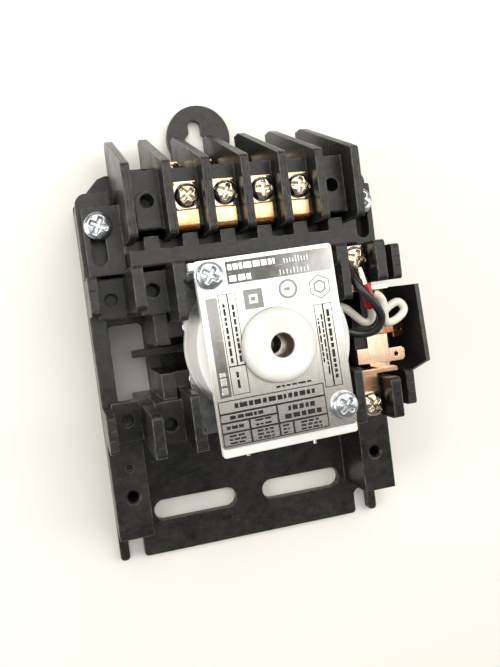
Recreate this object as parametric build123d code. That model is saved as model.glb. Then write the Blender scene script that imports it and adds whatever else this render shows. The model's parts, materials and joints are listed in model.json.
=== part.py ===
from build123d import *
import math
import os

# Open-type multi-pole contactor, lying on its back.
# X is to the right, Y towards the keyhole tab (up when mounted), Z out of the mounting face.
# The origin is on the mounting face, on the symmetry plane. All sizes in millimetres.

os.makedirs("parts", exist_ok=True)

# Mounting base
BASE_HALF_WIDTH = 53.7
BASE_BOTTOM_Y = -81.1
BASE_TOP_Y = 66.6
PLATE = 3.5
RAIL_INNER_X = 41.3
RAIL_TOP = 25.15
RAIL_END_Y = -66.9
SIDE_WALL_INNER_X = 48.0
RAIL_HOLE_X, RAIL_HOLE_Y, RAIL_HOLE_R = 47.0, -51.9, 2.0
NOTCH_X, NOTCH_R, NOTCH_TOP_Y = 47.2, 2.9, -73.9
SLOT_X0, SLOT_X1, SLOT_Y, SLOT_R = 5.4, 38.6, -64.4, 4.0
WINDOW_X0, WINDOW_X1, WINDOW_Y0, WINDOW_Y1 = 33.8, 47.6, -21.0, 9.5
TAB_X, TAB_Y, TAB_R = -2.0, 78.8, 12.5
KEYHOLE_X, KEYHOLE_BIG_R, KEYHOLE_SMALL_R = -3.2, 4.85, 2.6
KEYHOLE_BIG_Y, KEYHOLE_SMALL_Y = 76.2, 83.2
COLUMN_TOP = 30.0
EAR_TOP = 36.8
EAR_SCREW_X, EAR_SCREW_Y = 47.3, 43.6

# Pole block: six bays between seven fins on a half-inch pitch
PITCH = 12.7
FIN = 2.8
FIN_TOP = 59.4
DECK_TOP = 50.5
CHAMBER_ROOF = 29.0
BLOCK_HALF = 39.5
REAR_DECK_TOP = 23.1
REAR_DECK_END_Y = 64.2
LINE_SCREW_Y, LOAD_SCREW_Y = 49.1, 61.2
BAYS = [(i - 2.5) * PITCH for i in range(6)]
POLES = BAYS[1:5]
STRIP_W, STRIP_T, STRIP_BEND = 7.2, 1.5, 2.4

# Contacts and moving assembly
TRAVEL = 5.0
BRIDGE_Y = 47.1
BRIDGE_REACH = 5.3
BRIDGE_Z = 14.5
TIP_R, TIP_H = 1.8, 1.0
AXIS_X, AXIS_Y = 0.3, -2.2
BAR_Z0, BAR_Z1 = 5.0, 10.0
FINGER_Y, FINGER_W = -1.8, 2.7
AUX_X, AUX_REACH = 41.2, 8.0
AUX_BRIDGE_Z, AUX_BRIDGE_T = 17.7, 1.2
FINGER_TOP = 15.8

# Magnet and coil
YOKE_Z0, YOKE_Z1 = 40.0, 43.0
COIL_R, COIL_WALL, COIL_STEP_Z = 25.2, 1.6, 46.0
COIL_FRONT = 67.0
PLATE_FRONT = 69.6
BORE_R, PLUNGER_R = 6.3, 6.0
PIN_R, BOSS_HOLE_R = 2.6, 3.85
BUSH_R, BUSH_TOP = 5.2, 74.3
CORE_Z0, CORE_Z1, CORE_HOLE_R = 59.2, 63.2, 3.1
PLUNGER_TOP, PIN_TOP = 54.0, 58.5
BOSS_R, BOSS_TOP = 11.6, 75.4
LABEL_W, LABEL_H, LABEL_T, LABEL_TURN = 44.3, 57.7, 0.4, 1.7
LABEL_X, LABEL_Y = 0.2, -2.2
COVER_POSTS = [(-18.5, 21.4), (19.4, -24.0)]

# Terminal towers, mirrored about MIRROR_Y
MIRROR_Y = -2.5
EMPTY_PAD, RAISED_PAD, OUTER_PAD = 47.5, 57.7, 31.0
INNER_BAY_X, OUTER_BAY_X, TOWER_SCREW_Y = 33.0, 45.8, 19.8
AUX_SCREW_Y = 22.0
AUX_FOOT_Z = 26.0
BRACKET_Z, BRACKET_T = 48.7, 1.3

WIRE_R, SLEEVE_R = 1.4, 1.95


def box(x0, x1, y0, y1, z0, z1):
    """Block between two corners."""
    return Pos((x0 + x1) / 2, (y0 + y1) / 2, (z0 + z1) / 2) * Box(x1 - x0, y1 - y0, z1 - z0)


def rod(x, y, z0, z1, r):
    """Upright cylinder."""
    return Pos(x, y, (z0 + z1) / 2) * Cylinder(r, z1 - z0)


def tube(x, y, z0, z1, outer, inner):
    """Upright tube."""
    return rod(x, y, z0, z1, outer) - rod(x, y, z0 - 1, z1 + 1, inner)


def rounded_box(x0, x1, y0, y1, z0, z1, r):
    """Block with its upright edges rounded."""
    block = box(x0, x1, y0, y1, z0, z1)
    return fillet(block.edges().filter_by(Axis.Z), r)


def slot(x0, y0, x1, y1, r, z0, z1):
    """Round-ended upright slot between two end centres."""
    length = math.hypot(x1 - x0, y1 - y0)
    angle = math.degrees(math.atan2(y1 - y0, x1 - x0))
    profile = Rot(0, 0, angle) * SlotCenterToCenter(length, 2 * r)
    middle = Pos((x0 + x1) / 2, (y0 + y1) / 2, z0)
    return extrude(middle * profile, z1 - z0)


def both_sides(shape):
    """The shape and its mirror image in the symmetry plane."""
    return [shape, mirror(shape, Plane.YZ)]


def save(name, shape):
    """One STEP file for each node; a list is a group of separate solids."""
    solids = shape if isinstance(shape, list) else [shape]
    found = [s for item in solids for s in item.solids()]
    whole = found[0] if len(found) == 1 else Compound(children=found)
    export_step(whole, f"parts/{name}.step")


def pan_screw(x, y, seat, head_r, head_h, shank_r, shank_l, turn=45, slotted=False):
    """Pan-head screw with a cross recess, its head standing on the seat height."""
    head = rod(x, y, seat, seat + head_h, head_r)
    head = fillet(head.edges().group_by(Axis.Z)[-1], head_h * 0.55)
    depth = head_h * 0.6
    arm = head_r * 1.05
    cross = Box(arm, head_r * 0.26, depth * 2) + Box(head_r * 0.26, arm, depth * 2)
    if slotted:
        cross += Box(head_r * 2.4, head_r * 0.24, depth * 1.4)
    head -= Pos(x, y, seat + head_h) * Rot(0, 0, turn) * cross
    return head + rod(x, y, seat - shank_l, seat, shank_r)


def flat_screw(x, y, top, head_r, shank_r, length):
    """Countersunk screw, flush with the surface at the top height."""
    head = Pos(x, y, top - (head_r - shank_r) / 2) * Cone(shank_r, head_r, head_r - shank_r)
    cross = Box(head_r, 0.7, 1.6) + Box(0.7, head_r, 1.6)
    return head + rod(x, y, top - length, top - 0.5, shank_r) - Pos(x, y, top) * cross


def spring(x, y, z0, z1, radius, wire, turns):
    """Coil spring between two heights."""
    height = z1 - z0 - 2 * wire
    path = Pos(x, y, z0 + wire) * Helix(height / turns, height, radius)
    section = Plane(origin=path @ 0, z_dir=path % 0) * Circle(wire)
    return sweep(section, path=path, is_frenet=True)


# ---------------------------------------------------------------- base

def keyhole_tab():
    disc = rod(TAB_X, TAB_Y, 0, PLATE, TAB_R)
    neck = box(TAB_X - 11.5, TAB_X + 11.5, BASE_TOP_Y - 1, TAB_Y - 5, 0, PLATE)
    big = rod(KEYHOLE_X, KEYHOLE_BIG_Y, -1, PLATE + 1, KEYHOLE_BIG_R)
    small = slot(KEYHOLE_X, KEYHOLE_BIG_Y, KEYHOLE_X, KEYHOLE_SMALL_Y, KEYHOLE_SMALL_R, -1, PLATE + 1)
    return disc + neck - big - small


def base_rail():
    """Right-hand rail, side wall and column."""
    rail = box(RAIL_INNER_X, BASE_HALF_WIDTH, RAIL_END_Y, -21.5, 0, RAIL_TOP)
    wall = box(SIDE_WALL_INNER_X, BASE_HALF_WIDTH, -22, 27.5, 0, RAIL_TOP)
    column = box(41.5, BASE_HALF_WIDTH, 27, 56, 0, COLUMN_TOP)
    column = fillet(column.edges().filter_by(Axis.Z).group_by(Axis.Y)[-1].sort_by(Axis.X)[-1:], 4)
    return rail + wall + column


def rail_cuts():
    """Moulded-in pockets under the right-hand rail, and its screw holes."""
    cuts = box(44.0, 51.2, -64.4, -56.0, -1, RAIL_TOP - 2.6)
    cuts += box(44.0, 51.2, -47.6, -24.0, -1, RAIL_TOP - 2.6)
    cuts += box(43.9, 51.3, 29.4, 38.0, -1, COLUMN_TOP - 2.6)
    cuts += rod(RAIL_HOLE_X, RAIL_HOLE_Y, -1, RAIL_TOP + 1, RAIL_HOLE_R)
    cuts += Pos(RAIL_HOLE_X, RAIL_HOLE_Y, RAIL_TOP - 0.35) * Cone(RAIL_HOLE_R, RAIL_HOLE_R + 0.8, 0.8)
    return cuts + rod(EAR_SCREW_X, EAR_SCREW_Y, COLUMN_TOP - 12, COLUMN_TOP + 1, 1.9)


def base_outline():
    """Flat plate with chamfered top corners and U notches at the feet."""
    w, top, bottom = BASE_HALF_WIDTH, BASE_TOP_Y, BASE_BOTTOM_Y
    corners = [(-w, bottom), (w, bottom), (w, 55.5), (49, 59.8), (43.4, 65.6), (40.6, top)]
    corners += [(-40.6, top), (-43.4, 65.6), (-49, 59.8), (-w, 55.5)]
    plate = extrude(make_face(Polyline(*corners, close=True)), PLATE)
    for side in (-1, 1):
        x = side * NOTCH_X
        plate -= box(x - NOTCH_R, x + NOTCH_R, bottom - 1, NOTCH_TOP_Y, -1, PLATE + 1)
        plate -= rod(x, NOTCH_TOP_Y, -1, PLATE + 1, NOTCH_R)
    feet = plate.edges().filter_by(Axis.Z).group_by(Axis.Y)[0]
    return fillet(feet, 1.5)


def base_plate():
    plate = base_outline() + keyhole_tab()
    for shape in both_sides(base_rail()):
        plate += shape
    for cuts in both_sides(rail_cuts()):
        plate -= cuts
    plate -= rod(-RAIL_HOLE_X, -41.4, RAIL_TOP - 2, RAIL_TOP + 1, 1.4)
    for side in (-1, 1):
        plate -= slot(side * (SLOT_X0 + SLOT_R), SLOT_Y, side * (SLOT_X1 - SLOT_R), SLOT_Y,
                      SLOT_R, -1, PLATE + 1)
    for window in both_sides(rounded_box(WINDOW_X0, WINDOW_X1, WINDOW_Y0, WINDOW_Y1, -1, PLATE + 1, 2.5)):
        plate -= window
    return plate


# ---------------------------------------------------------------- pole block

def fin(x):
    """Barrier fin with a slanted upper edge."""
    profile = [(35.9, 32), (35.9, FIN_TOP), (59.1, FIN_TOP), (77.1, 13), (77.1, 7), (60, 7),
               (60, CHAMBER_ROOF), (39, CHAMBER_ROOF), (39, 32)]
    sheet = make_face(Plane.YZ * Polyline(*profile, close=True))
    plate = extrude(Pos(x - FIN / 2, 0, 0) * sheet, FIN, dir=(1, 0, 0))
    edges = plate.edges().filter_by(Axis.X)
    rounded = edges.group_by(Axis.Z)[-1] + edges.sort_by_distance((x, 77.1, 13))[:1]
    return fillet(rounded, 1.6)


def empty_bay_pad(x):
    """Raised arch-topped screw pad of an unused pole."""
    pad = box(x - 4, x + 4, 39.3, 47.5, DECK_TOP, DECK_TOP + 1.1)
    return pad + rod(x, 47.5, DECK_TOP, DECK_TOP + 1.1, 4)


def ear():
    plate = box(39.3, 52.2, 26.9, 50.1, COLUMN_TOP, EAR_TOP)
    plate = fillet(plate.edges().filter_by(Axis.Z).group_by(Axis.X)[-1], 0.8)
    return plate - slot(EAR_SCREW_X + 0.5, 32.7, EAR_SCREW_X + 0.5, 43.6, 2.5, COLUMN_TOP - 1, EAR_TOP + 1)


def pole_block():
    half = BLOCK_HALF
    block = box(-half, half, 39, 58.3, CHAMBER_ROOF, DECK_TOP)
    block += box(-half, half, 58.3, REAR_DECK_END_Y, PLATE, REAR_DECK_TOP)
    block += box(-half, half, 33, 37, PLATE, 39.8)
    block -= box(-7.6, 7.6, 32, 38, PLATE - 1, BAR_Z1 + TRAVEL + 1.5)
    for x0, x1 in ((-half, -half + FIN), (half - FIN, half)):
        block += box(x0, x1, 33, REAR_DECK_END_Y, PLATE, CHAMBER_ROOF)
        block += box(x0, x1, 35.9, 39, CHAMBER_ROOF - 1, DECK_TOP)
    for i in range(7):
        block += fin((i - 3) * PITCH)
    for i in range(5):
        x = (i - 2) * PITCH
        block += box(x - 0.8, x + 0.8, 36.5, 58.5, BAR_Z1 + TRAVEL + 1.5, CHAMBER_ROOF + 0.5)
    for shape in both_sides(ear()):
        block += shape
    for x in (BAYS[0], BAYS[-1]):
        block += empty_bay_pad(x)
    for x in BAYS:
        block -= rod(x, LINE_SCREW_Y - 0.6, DECK_TOP - 9, DECK_TOP + 3, 1.75) if x in POLES else \
            rod(x, 48.2, DECK_TOP - 9, DECK_TOP + 3, 2.3)
    for x in POLES:
        block -= rod(x, LOAD_SCREW_Y, REAR_DECK_TOP - 9, REAR_DECK_TOP + 1, 1.6)
    return block


def front_bar():
    """Toothed bar that closes the lower edge of the pole block."""
    bar = box(-39.2, 39.2, 27.3, 32.9, 28, DECK_TOP)
    for x in BAYS:
        bar += box(x - 2.5, x + 2.5, 32, 37.0, 40.0, DECK_TOP)
    top = bar.edges().group_by(Axis.Z)[-1].filter_by(Axis.X).sort_by(Axis.Y)[:1]
    return fillet(top, 0.8)


def line_strip(x):
    """Front terminal strip: screw leg, drop leg and contact foot."""
    half = STRIP_W / 2
    front = 37.3
    path = [(53.4, DECK_TOP), (53.4, DECK_TOP + STRIP_T), (front, DECK_TOP + STRIP_T),
            (front, REAR_DECK_TOP), (43.5, REAR_DECK_TOP), (43.5, REAR_DECK_TOP + STRIP_T),
            (front + STRIP_T, REAR_DECK_TOP + STRIP_T), (front + STRIP_T, DECK_TOP)]
    sheet = make_face(Plane.YZ * Polyline(*path, close=True))
    strip = extrude(Pos(x - half, 0, 0) * sheet, STRIP_W, dir=(1, 0, 0))
    bend = strip.edges().filter_by(Axis.X).sort_by_distance((x, front, DECK_TOP + STRIP_T))[:1]
    strip = fillet(bend, STRIP_BEND)
    return strip - rod(x, LINE_SCREW_Y - 0.6, DECK_TOP - 1, DECK_TOP + 3, 1.75)


def load_strip(x):
    half = STRIP_W / 2
    strip = box(x - half, x + half, 50.4, 65.6, REAR_DECK_TOP, REAR_DECK_TOP + STRIP_T)
    return strip - rod(x, LOAD_SCREW_Y, REAR_DECK_TOP - 1, REAR_DECK_TOP + 3, 1.6)


def clamp_washer(x, y, z, size, hole):
    """Square saddle clamp with turned-down wire edges."""
    plate = rounded_box(x - size / 2, x + size / 2, y - size / 2, y + size / 2, z, z + 1.1, 1.2)
    return plate - rod(x, y, z - 1, z + 2, hole)


def contact_tip(x, y, z):
    tip = rod(x, y, z, z + TIP_H, TIP_R)
    return tip


# ---------------------------------------------------------------- terminal towers

def tower_fin(x0, x1, y0, y1, z0, z1):
    """Upright barrier with both ends of its front edge rounded."""
    plate = box(x0, x1, y0, y1, z0, z1)
    return fillet(plate.edges().filter_by(Axis.X).group_by(Axis.Z)[-1], 1.4)


def tower_wing(pad):
    """Upper right wing: three barrier fins and two screw pads."""
    wing = box(28.4, 41.0, 12.0, 26.0, PLATE, 30)
    wing += box(28.3, 37.7, 12.0, 26.0, 29, pad)
    wing += tower_fin(25.6, 28.4, 8.8, 26.9, 30, 66.5)
    wing += tower_fin(24.6, 28.4, 20.3, 26.9, 30, 66.5)
    wing += tower_fin(37.6, 41.0, 13.4, 26.9, 29, 67.5)
    wing += box(40.9, 50.8, 12.0, 26.0, RAIL_TOP, OUTER_PAD)
    wing += tower_fin(50.7, BASE_HALF_WIDTH, 13.6, 26.0, RAIL_TOP, 52)
    wing -= rod(OUTER_BAY_X, 18.6, OUTER_PAD - 4, OUTER_PAD + 1, 2.2)
    screw_y, screw_r = (TOWER_SCREW_Y, 2.3) if pad == EMPTY_PAD else (AUX_SCREW_Y, 1.6)
    return wing - rod(INNER_BAY_X, screw_y, pad - 9, pad + 1, screw_r)


def tower_spine():
    """Wall beside the coil, open for the crossbar finger, with shelves for the magnet frame."""
    spine = box(29, 33.7, -17.2, 12.2, PLATE, 43)
    spine -= box(28, 35, -8.3, 1.3, 10, 44)
    spine += box(20, 29.2, 3.3, 9.3, 36, YOKE_Z0) + box(20, 29.2, -14.3, -8.3, 36, YOKE_Z0)
    for y in (6.3, -11.3):
        spine -= rod(22, y, 30, YOKE_Z0 + 1, 1.2)
    return spine


def terminal_tower(pad):
    wing = tower_wing(pad)
    mirror_plane = Plane.XZ.offset(-MIRROR_Y)
    return wing + tower_spine() + mirror(wing, mirror_plane)


# ---------------------------------------------------------------- magnet and coil

def magnet_frame():
    """U-shaped steel frame round the coil."""
    frame = box(-24, 24, -30.8, 26.2, YOKE_Z0, YOKE_Z1)
    frame += box(-13, 13, 23.2, 26.2, YOKE_Z1, COIL_FRONT)
    frame += box(-13, 13, -30.8, -27.8, YOKE_Z1, COIL_FRONT)
    frame -= rod(AXIS_X, AXIS_Y, YOKE_Z0 - 1, YOKE_Z1 + 1, BORE_R + 0.4)
    for x, y in frame_screw_places():
        frame -= Pos(x, y, YOKE_Z1 - 0.6) * Cone(1.2, 2.4, 1.2) + rod(x, y, YOKE_Z0 - 1, YOKE_Z1, 1.2)
    for x, y in COVER_POSTS:
        frame -= rod(x, y, YOKE_Z0 - 1, YOKE_Z1 + 1, 1.5)
    return frame


def frame_screw_places():
    return [(x, y) for x in (-22, 22) for y in (6.3, -11.3)]


def coil_bobbin():
    bobbin = tube(AXIS_X, AXIS_Y, YOKE_Z1, COIL_FRONT, BORE_R + 1.5, BORE_R)
    for z in (YOKE_Z1, COIL_FRONT - 2 * COIL_WALL):
        bobbin += tube(AXIS_X, AXIS_Y, z, z + COIL_WALL, COIL_R - COIL_WALL - 0.1, BORE_R)
    return bobbin


def coil_winding():
    low, high = YOKE_Z1 + COIL_WALL, COIL_FRONT - 2 * COIL_WALL
    return tube(AXIS_X, AXIS_Y, low, high, COIL_R - COIL_WALL - 1.2, BORE_R + 1.5)


def coil_shell():
    shell = tube(AXIS_X, AXIS_Y, YOKE_Z1, COIL_STEP_Z, COIL_R, COIL_R - COIL_WALL)
    shell += tube(AXIS_X, AXIS_Y, COIL_STEP_Z, COIL_FRONT, COIL_R - 0.3, COIL_R - COIL_WALL)
    shell += tube(AXIS_X, AXIS_Y, COIL_FRONT - COIL_WALL, COIL_FRONT, COIL_R - 1, BORE_R + 1.6)
    for y in (WHITE_LEAD[0][1], BLACK_LEAD[-1][1]):
        shell -= Pos(COIL_R, y, WHITE_LEAD[0][2]) * Rot(0, 90, 0) * Cylinder(WIRE_R + 0.1, 8)
    return shell


def turned_plate(w, h, z0, z1, r, y_shift=0):
    """Rounded rectangle on the nameplate's axes."""
    plate = extrude(RectangleRounded(w, h, r), z1 - z0)
    return Pos(LABEL_X, LABEL_Y, z0) * Rot(0, 0, LABEL_TURN) * Pos(0, y_shift, 0) * plate


def coil_front_plate():
    plate = turned_plate(LABEL_W, LABEL_H + 2.8, COIL_FRONT, PLATE_FRONT, 0.9, -1.4)
    boss = rod(AXIS_X, AXIS_Y, PLATE_FRONT - 0.5, BOSS_TOP, BOSS_R)
    boss = fillet(boss.edges().group_by(Axis.Z)[-1], 2.6)
    plate += boss
    plate -= rod(AXIS_X, AXIS_Y, COIL_FRONT - 1, BOSS_TOP + 1, BOSS_HOLE_R)
    plate -= rod(AXIS_X, AXIS_Y, COIL_FRONT - 1, BUSH_TOP, BUSH_R)
    plate += box(-24.2, -21.4, 23.4, 25.8, 63.5, PLATE_FRONT - 0.6)
    for x, y in COVER_POSTS:
        plate -= rod(x, y, COIL_FRONT - 1, PLATE_FRONT + 1, 1.5)
    return plate


def nameplate():
    plate = turned_plate(LABEL_W, LABEL_H, PLATE_FRONT, PLATE_FRONT + LABEL_T, 1.3)
    plate -= rod(AXIS_X, AXIS_Y, PLATE_FRONT - 1, PLATE_FRONT + 2, BOSS_R + 0.2)
    for x, y in COVER_POSTS:
        plate -= rod(x, y, PLATE_FRONT - 1, PLATE_FRONT + 2, 1.5)
    return plate


def bore_bush():
    """Bush that lines the bore between the core ring and the front boss."""
    bush = tube(AXIS_X, AXIS_Y, CORE_Z1, COIL_FRONT, BORE_R, BOSS_HOLE_R)
    return bush + tube(AXIS_X, AXIS_Y, COIL_FRONT - 1, BUSH_TOP, BUSH_R, BOSS_HOLE_R)


def cover_post(x, y):
    """Hexagonal standoff between the magnet frame and the coil front plate."""
    post = extrude(Pos(x, y, YOKE_Z1) * RegularPolygon(2.9, 6), COIL_FRONT - YOKE_Z1)
    post += rod(x, y, YOKE_Z0, YOKE_Z1, 1.5)
    return post - rod(x, y, COIL_FRONT - 6, COIL_FRONT + 1, 1.5)


def clip_prong(x):
    """Free end of the wire clip under the coil front plate."""
    return Pos(x, -33.2, 65.9) * Rot(90, 0, 0) * Cylinder(0.5, 4.6)


# ---------------------------------------------------------------- moving assembly

def plunger():
    rod_part = rod(AXIS_X, AXIS_Y, BAR_Z0 + 1, PLUNGER_TOP, PLUNGER_R)
    rod_part -= Pos(AXIS_X, AXIS_Y, BAR_Z1 + 1) * Rot(0, 90, 0) * Cylinder(1.5, 40)
    return rod_part - rod(AXIS_X, AXIS_Y, PLUNGER_TOP - 8, PLUNGER_TOP + 1, 1.7)


def crossbar():
    """Moulded carrier: hub, beam, pole bar with bridge posts, and two side fingers."""
    bar = rod(AXIS_X, AXIS_Y, BAR_Z0, BAR_Z1 + 5.8, 10.5)
    bar += box(-6.5, 6.5, 4, 44, BAR_Z0, BAR_Z1)
    bar += box(-26, 26, 43.6, 50.6, BAR_Z0, BAR_Z1)
    for x in POLES:
        bar += rod(x, BRIDGE_Y, BAR_Z1 - 1, 18.6, 1.4)
    low, high = FINGER_Y - FINGER_W / 2, FINGER_Y + FINGER_W / 2
    bar += box(-40.0, AUX_X + 2.4, low, high, 11.5, FINGER_TOP)
    bar += rod(AUX_X, FINGER_Y, 15, 20.3, 1.2)
    bar -= rod(AXIS_X, AXIS_Y, BAR_Z0 + 1, BAR_Z1 + 7, PLUNGER_R)
    return bar - Pos(AXIS_X, AXIS_Y, BAR_Z1 + 1) * Rot(0, 90, 0) * Cylinder(1.5, 19)


def plunger_pin():
    return Pos(AXIS_X, AXIS_Y, BAR_Z1 + 1) * Rot(0, 90, 0) * Cylinder(1.5, 18.6)


def indicator_pin():
    pin = rod(AXIS_X, AXIS_Y, PLUNGER_TOP, PIN_TOP, PIN_R)
    pin += rod(AXIS_X, AXIS_Y, PLUNGER_TOP - 8, PLUNGER_TOP + 1, 1.7)
    return chamfer(pin.edges().group_by(Axis.Z)[-1], 0.5)


def contact_bridge(x):
    bridge = rounded_box(x - 2.6, x + 2.6, BRIDGE_Y - 7.4, BRIDGE_Y + 7.4, BRIDGE_Z, BRIDGE_Z + 1.5, 1.0)
    return bridge - rod(x, BRIDGE_Y, BRIDGE_Z - 1, BRIDGE_Z + 3, 1.4)


def retainer(x, y, z, post_r):
    return tube(x, y, z, z + 0.8, post_r + 1.2, post_r)


def auxiliary_bridge():
    low, high = AUX_BRIDGE_Z, AUX_BRIDGE_Z + AUX_BRIDGE_T
    bridge = rounded_box(AUX_X - 2, AUX_X + 2, FINGER_Y - 10, FINGER_Y + 10, low, high, 0.8)
    return bridge - rod(AUX_X, FINGER_Y, low - 1, high + 1, 1.2)


# ---------------------------------------------------------------- auxiliary side

def upper_auxiliary_strip():
    """Brass strip from the upper right screw down to the auxiliary contact."""
    top = RAISED_PAD
    strip = box(29.5, 36.6, 12.2, 26.2, top, top + 1.3)
    strip += box(29.5, 44.4, 10.8, 12.2 + 0.1, top, top + 1.3)
    strip += box(38.7, 44.4, 10.8, 11.8, AUX_FOOT_Z, top + 0.5)
    strip += box(38.7, 43.7, 4.4, 11.8, AUX_FOOT_Z, AUX_FOOT_Z + 1.1)
    return strip - rod(INNER_BAY_X, AUX_SCREW_Y, top - 1, top + 3, 1.6)


def lower_auxiliary_strip():
    """Strip from the lower right screw to the auxiliary contact, with a quick-connect blade."""
    top = RAISED_PAD
    mirror_plane = Plane.XZ.offset(-MIRROR_Y)
    strip = mirror(upper_auxiliary_strip(), mirror_plane)
    plate = box(38.5, 46.2, -15.5, -5.0, BRACKET_Z, BRACKET_Z + BRACKET_T)
    plate += box(34.3, 38.6, -14.8, -9.4, BRACKET_Z, BRACKET_Z + BRACKET_T)
    plate += box(38.7, 44.4, -16.8, -15.4, BRACKET_Z, BRACKET_Z + BRACKET_T)
    blade = box(46.1, 52.3, -15.1, -10.35, BRACKET_Z + 0.3, BRACKET_Z + 1.1)
    blade = chamfer(blade.edges().filter_by(Axis.Z).group_by(Axis.X)[-1], 1.0)
    return strip + plate + blade - rod(49.0, -12.7, BRACKET_Z - 1, BRACKET_Z + 3, 0.8)


def spare_blade():
    """Second quick-connect blade, bent down beside the bracket."""
    blade = box(0, 6.4, -2.4, 2.4, -0.4, 0.4)
    blade = chamfer(blade.edges().filter_by(Axis.Z).group_by(Axis.X)[-1], 0.9)
    blade -= rod(4.2, 0, -1, 1, 0.8)
    tilted = Pos(48.7, -4.3, BRACKET_Z + 0.45) * Rot(0, 30, 0) * blade
    return tilted + box(40.5, 49.0, -4.9, -2.6, BRACKET_Z, BRACKET_Z + 0.9)


def auxiliary_block():
    """Moulded carrier of the auxiliary strips."""
    block = box(38.2, 46.0, -15.5, 10.6, AUX_FOOT_Z + 1.2, BRACKET_Z)
    block += box(46.0, 49.0, -15.0, 10.0, AUX_FOOT_Z + 1.2, 40)
    block += box(34.3, 38.3, -14.8, 2.0, 43.3, BRACKET_Z)
    return block


def side_barrier():
    """Insulating side wall with a flange on the base side wall."""
    x0, x1 = 57.3, 58.8
    outline = [(-21.0, 25.2), (-21.0, 40.5), (-16.0, 55.6), (11.0, 53.4), (11.0, 25.2)]
    wall = extrude(Pos(x0, 0, 0) * make_face(Plane.YZ * Polyline(*outline, close=True)), x1 - x0,
                   dir=(1, 0, 0))
    flange = box(49.2, x1 - 0.5, -16.8, 11.0, 25.2, AUX_FOOT_Z + 1.2)
    return wall + flange - rod(51.4, -10, 20, 30, 1.2) - rod(51.4, 5, 20, 30, 1.2)


# ---------------------------------------------------------------- leads

def wire(points, radius):
    """Lead along straight runs joined by arcs."""
    corners = [Vector(*p) for p in points]
    radii = []
    for a, b, c in zip(corners, corners[1:], corners[2:]):
        turn = math.radians((b - a).get_angle(c - b))
        radii.append(0.45 * min((b - a).length, (c - b).length) / math.tan(turn / 2))
    path = FilletPolyline(*corners, radius=radii)
    section = Plane(origin=path @ 0, z_dir=path % 0) * Circle(radius)
    print("lead length", round(path.length, 1), "smallest bend", round(min(radii), 1))
    return sweep(section, path=path)


WHITE_LEAD = [(22.8, 7.2, 54.4), (28.8, 7.2, 54.4), (33.6, 2.6, 54.0), (36.6, -0.2, 53.6), (39.2, 0.4, 54.2),
              (38.9, 3.6, 56.4), (37.6, 5.9, 58.4)]
SLEEVE = [(37.6, 5.9, 58.4), (36.0, 8.73, 60.86), (34.6, 12.4, 61.9), (34.0, 17.4, 61.4)]
BLACK_LEAD = [(30.4, 17.6, 61.2), (30.2, 14.2, 64.2), (33.3, 9.6, 66.4), (37.6, 4.4, 64.6), (40.0, 0.9, 61.6),
              (38.4, -3.2, 58.6), (33.6, -3.8, 56.0), (28.8, -1.8, 54.4), (22.8, -1.8, 54.4)]
WHITE_JUMPER = [(40.6, 10.4, 57.2), (41.0, 7.6, 57.6), (42.9, 4.6, 57.4), (43.2, 1.2, 55.8), (45.6, -0.9, 53.8),
                (49.0, 0.6, 52.8), (50.2, 3.8, 52.4), (47.6, 5.8, 52.0), (44.2, 4.6, 51.6), (42.3, 1.8, 51.2)]


# ---------------------------------------------------------------- write every node

def write_fixed_parts():
    save("base_plate", base_plate())
    save("pole_block", pole_block())
    save("front_bar", front_bar())
    save("pole_block_screws", [pan_screw(s * EAR_SCREW_X, EAR_SCREW_Y, EAR_TOP, 4.75, 2.9, 1.9, 18, 20 * s)
                               for s in (-1, 1)])
    for n, x in enumerate(POLES, 1):
        save(f"line_contact_strip_{n}", line_strip(x))
        save(f"load_contact_strip_{n}", load_strip(x))
    under = REAR_DECK_TOP - TIP_H
    tips = [contact_tip(x, BRIDGE_Y + s * BRIDGE_REACH, under) for x in POLES for s in (-1, 1)]
    save("fixed_contact_tips", tips)
    deck = DECK_TOP + STRIP_T
    line_y = LINE_SCREW_Y - 0.6
    save("line_clamp_washers", [clamp_washer(x, line_y, deck, 8.8, 1.75) for x in POLES])
    save("line_terminal_screws", [pan_screw(x, line_y, deck + 1.1, 4.0, 2.9, 1.75, 10, 30 + 50 * n, True)
                                  for n, x in enumerate(POLES)])
    rear = REAR_DECK_TOP + STRIP_T
    save("load_clamp_washers", [clamp_washer(x, LOAD_SCREW_Y, rear, 7.6, 1.6) for x in POLES])
    save("load_terminal_screws", [pan_screw(x, LOAD_SCREW_Y, rear + 1.1, 3.5, 2.2, 1.6, 9, 25 * n, True)
                                  for n, x in enumerate(POLES)])
    save("left_terminal_tower", mirror(terminal_tower(EMPTY_PAD), Plane.YZ))
    save("right_terminal_tower", terminal_tower(RAISED_PAD))


def write_magnet():
    save("magnet_frame", magnet_frame())
    save("magnet_frame_screws", [flat_screw(x, y, YOKE_Z1, 2.4, 1.2, 9) for x, y in frame_screw_places()])
    save("core_ring", tube(AXIS_X, AXIS_Y, CORE_Z0, CORE_Z1, BORE_R, CORE_HOLE_R))
    save("bore_bush", bore_bush())
    save("coil_bobbin", coil_bobbin())
    save("coil_winding", coil_winding())
    save("coil_shell", coil_shell())
    save("coil_front_plate", coil_front_plate())
    save("coil_clip", [clip_prong(-12.5), clip_prong(9.6)])
    save("cover_posts", [cover_post(x, y) for x, y in COVER_POSTS])
    save("nameplate", nameplate())
    top = PLATE_FRONT + LABEL_T
    save("nameplate_washers", [tube(x, y, top, top + 0.6, 4.5, 1.5) for x, y in COVER_POSTS])
    save("nameplate_screws", [pan_screw(x, y, top + 0.6, 4.2, 2.5, 1.5, 8, 10 + 50 * n)
                              for n, (x, y) in enumerate(COVER_POSTS)])


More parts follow.
